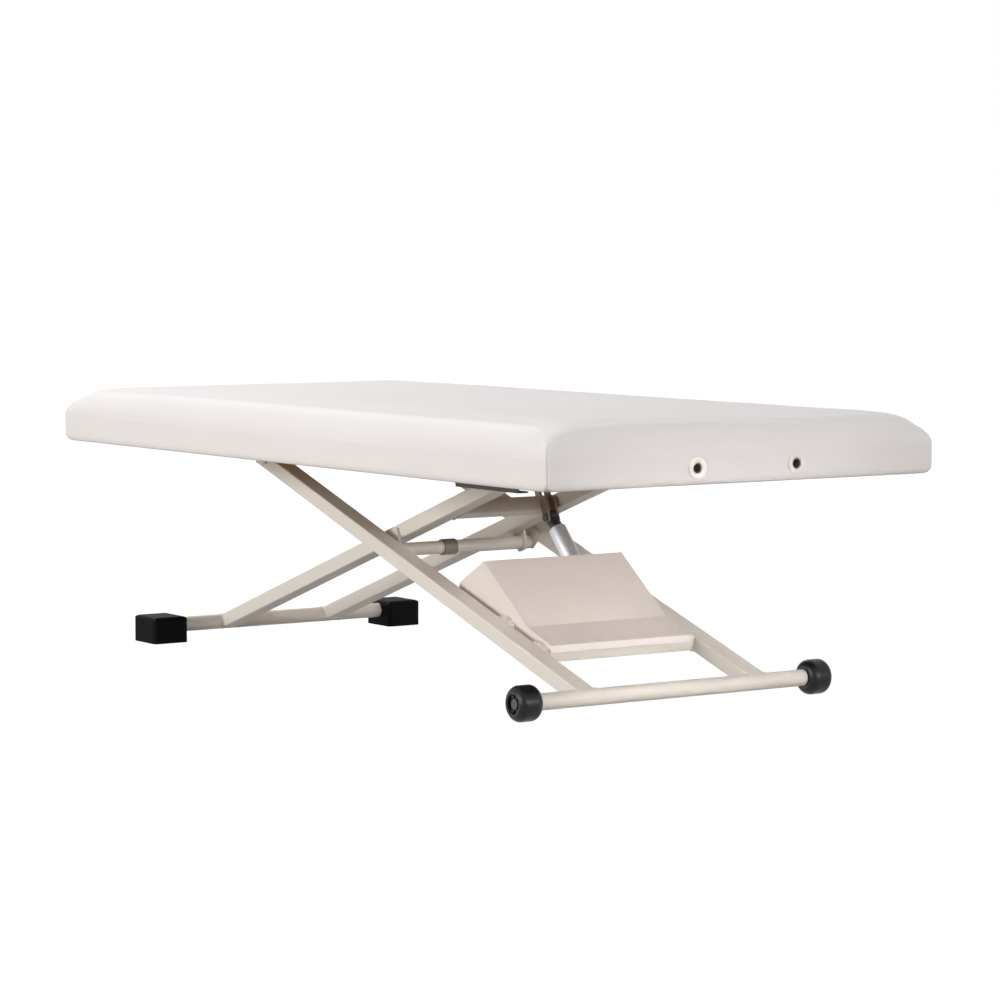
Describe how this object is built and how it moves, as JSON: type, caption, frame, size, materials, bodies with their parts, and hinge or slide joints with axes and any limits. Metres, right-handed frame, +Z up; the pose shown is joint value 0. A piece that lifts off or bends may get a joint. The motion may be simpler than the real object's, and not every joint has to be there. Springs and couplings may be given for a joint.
{
  "type": "massage table",
  "caption": "Height-adjustable massage table: padded flat top with face cradle holes on a scissor frame with a linear actuator, transport wheels and rubber feet.",
  "frame": {"origin": "on the floor under the middle of the top", "axes": "+X towards the head end with the cradle holes and wheels, +Y to the left, +Z up"},
  "size_m": [1.854, 0.889, 0.556],
  "materials": {
    "vinyl": "soft white vinyl, faint sheen",
    "foam": "open foam, hidden under the vinyl",
    "wood": "plain plywood and board",
    "frame_paint": "satin powder coat, warm ivory",
    "cover_paint": "satin powder coat, pinkish beige",
    "dark_paint": "satin dark paint",
    "bracket_paint": "satin brown paint",
    "dark_bolt": "blackened steel",
    "collar": "matte olive grey",
    "zinc": "zinc plated",
    "ring": "pale plastic ring",
    "black_plastic": "matte black",
    "roller_plastic": "white nylon",
    "tyre": "smooth black rubber",
    "hub": "dark grey plastic",
    "foot_rubber": "matte black rubber",
    "actuator_metal": "satin silver",
    "motor_metal": "grey motor can",
    "rod_metal": "dark grey rod"
  },
  "bodies": {
    "feet": {"foot_block_left": "foot_rubber", "foot_block_right": "foot_rubber"},
    "inner_frame": {"inner_rail_left": "frame_paint", "inner_rail_right": "frame_paint", "inner_rail_plugs": "black_plastic", "foot_cross_tube": "frame_paint", "upper_cross_rail": "frame_paint", "pivot_bar": "frame_paint", "inner_lugs": "frame_paint", "pivot_collar": "collar", "upper_fork": "bracket_paint", "upper_fork_pin": "dark_bolt", "roller_lugs": "frame_paint", "roller_axles": "zinc"},
    "outer_frame": {"outer_rail_left": "frame_paint", "outer_rail_right": "frame_paint", "outer_rail_plugs": "black_plastic", "front_cross_tube": "frame_paint", "cover_cross_rail": "frame_paint", "motor_cross_rail": "frame_paint", "outer_lugs": "frame_paint", "pivot_bolts": "dark_bolt", "lower_fork": "bracket_paint", "lower_fork_pin": "dark_bolt", "motor_cover": "cover_paint", "cover_screws": "zinc", "control_box": "black_plastic", "mains_inlet": "black_plastic", "axle_bolts": "dark_bolt"},
    "tabletop": {"vinyl_cover": "vinyl", "foam_pad": "foam", "side_rail_left": "wood", "side_rail_right": "wood", "end_rail_head": "wood", "end_rail_foot": "wood", "bearer_foot": "wood", "bearer_middle": "wood", "bearer_head": "wood", "sleeve_bearer": "wood", "deck_board": "wood", "cradle_sleeve_left": "zinc", "cradle_sleeve_right": "zinc", "cradle_ring_left": "ring", "cradle_ring_right": "ring", "pin_bracket_left": "frame_paint", "pin_bracket_right": "frame_paint", "top_pins": "zinc", "track_left": "dark_paint", "track_right": "dark_paint"},
    "wheel_left": {"wheel_tyre_left": "tyre", "wheel_hub_left": "hub"},
    "wheel_right": {"wheel_tyre_right": "tyre", "wheel_hub_right": "hub"},
    "roller_left": {"track_roller_left": "roller_plastic"},
    "roller_right": {"track_roller_right": "roller_plastic"},
    "actuator_rod": {"actuator_rod": "rod_metal"},
    "actuator_body": {"actuator_tube": "actuator_metal", "gear_housing": "black_plastic", "motor": "motor_metal", "lead_screw": "zinc"}
  },
  "joints": [
    {"name": "lift", "type": "hinge", "parent": "feet", "child": "inner_frame", "pos_m": [-0.758, 0, 0.034], "axis": [0, -1, 0], "range_deg": [-2, 16]},
    {"name": "scissor", "type": "hinge", "parent": "inner_frame", "child": "outer_frame", "pos_m": [-0.027, 0, 0.249], "axis": [0, -1, 0], "range_deg": [-32, 4]},
    {"name": "top_hinge", "type": "hinge", "parent": "outer_frame", "child": "tabletop", "pos_m": [-0.45, 0, 0.417], "axis": [0, -1, 0], "range_deg": [-2, 16]},
    {"name": "wheel_left_spin", "type": "hinge", "parent": "outer_frame", "child": "wheel_left", "pos_m": [0.704, 0.339, 0.034], "axis": [0, 1, 0], "continuous": true},
    {"name": "wheel_right_spin", "type": "hinge", "parent": "outer_frame", "child": "wheel_right", "pos_m": [0.704, -0.339, 0.034], "axis": [0, 1, 0], "continuous": true},
    {"name": "roller_left_spin", "type": "hinge", "parent": "inner_frame", "child": "roller_left", "pos_m": [0.396, 0.1675, 0.417], "axis": [0, 1, 0], "continuous": true},
    {"name": "roller_right_spin", "type": "hinge", "parent": "inner_frame", "child": "roller_right", "pos_m": [0.396, -0.1675, 0.417], "axis": [0, 1, 0], "continuous": true},
    {"name": "actuator_swing", "type": "hinge", "parent": "inner_frame", "child": "actuator_rod", "pos_m": [0.17205, 0.091, 0.31839], "axis": [0, -1, 0], "range_deg": [-36, 5]},
    {"name": "actuator_stroke", "type": "slide", "parent": "actuator_rod", "child": "actuator_body", "axis": [0.6871, 0, -0.7266], "range_m": [-0.015, 0.115]}
  ],
  "couplings": [
    {"joint": "scissor", "follows": "lift", "ratio": -2},
    {"joint": "top_hinge", "follows": "lift", "ratio": 1},
    {"joint": "actuator_swing", "follows": "lift", "ratio": -2.2332},
    {"joint": "actuator_stroke", "follows": "lift", "m_per_rad": 0.40979}
  ]
}
